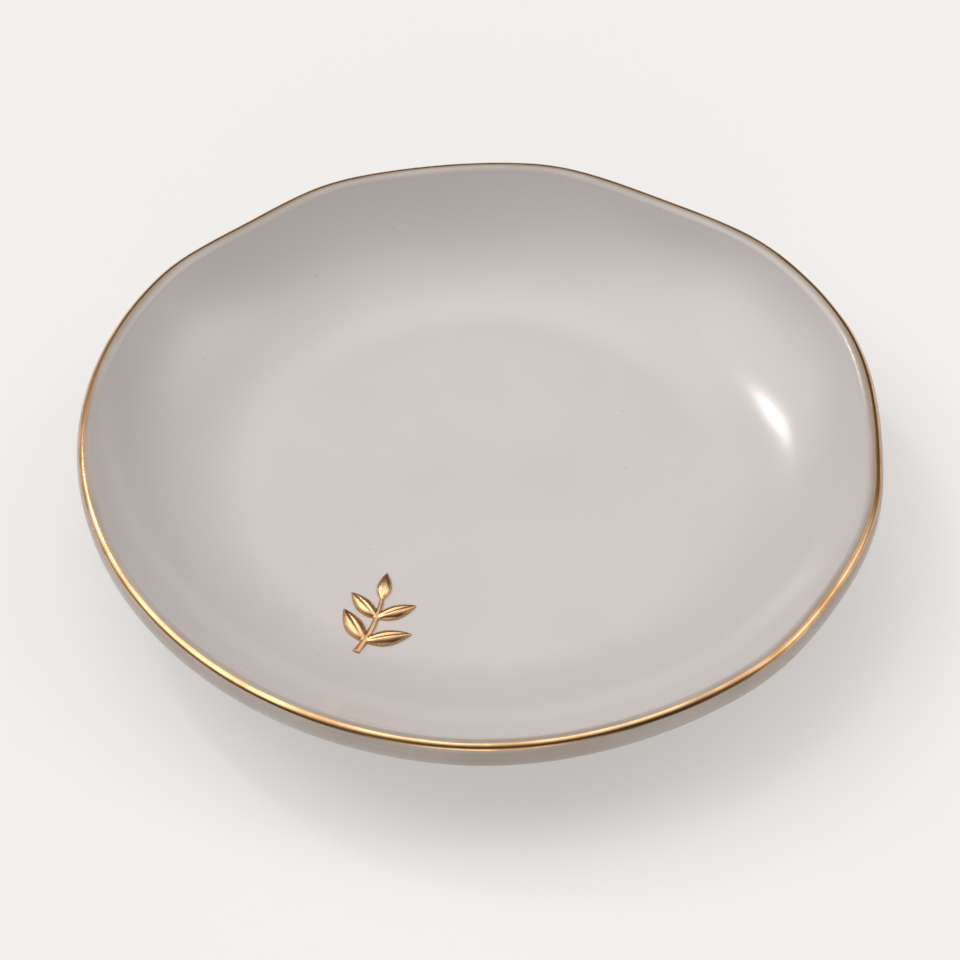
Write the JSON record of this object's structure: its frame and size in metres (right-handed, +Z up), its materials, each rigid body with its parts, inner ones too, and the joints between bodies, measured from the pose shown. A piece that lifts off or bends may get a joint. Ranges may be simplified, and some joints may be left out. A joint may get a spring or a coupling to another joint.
{
  "type": "ring dish",
  "caption": "Shallow round ceramic dish with a wavy gilded rim, a low turned foot and a small gilded leaf sprig raised on its floor, for keeping finger rings and small jewellery.",
  "frame": {"origin": "centre of the foot ring's resting plane, in the middle of the dish", "axes": "+Z up out of the dish; -Y towards the viewer, so the leaf sprig stands near the front left edge; +X to the right"},
  "size_m": [0.1196, 0.1204, 0.0175],
  "materials": {
    "clay": "unglazed fired clay, matt",
    "paste": "fired white relief paste, hidden under its gold",
    "glaze": "warm off-white gloss glaze",
    "gilding": "fired gold line, burnished, slightly uneven"
  },
  "bodies": {
    "root": {"dish_body": "clay", "foot_ring": "clay", "inner_glaze": "glaze", "outer_glaze": "glaze", "base_glaze": "glaze", "rim_gilding": "gilding", "leaf_sprig": "paste", "sprig_gilding": "gilding"}
  },
  "joints": []
}
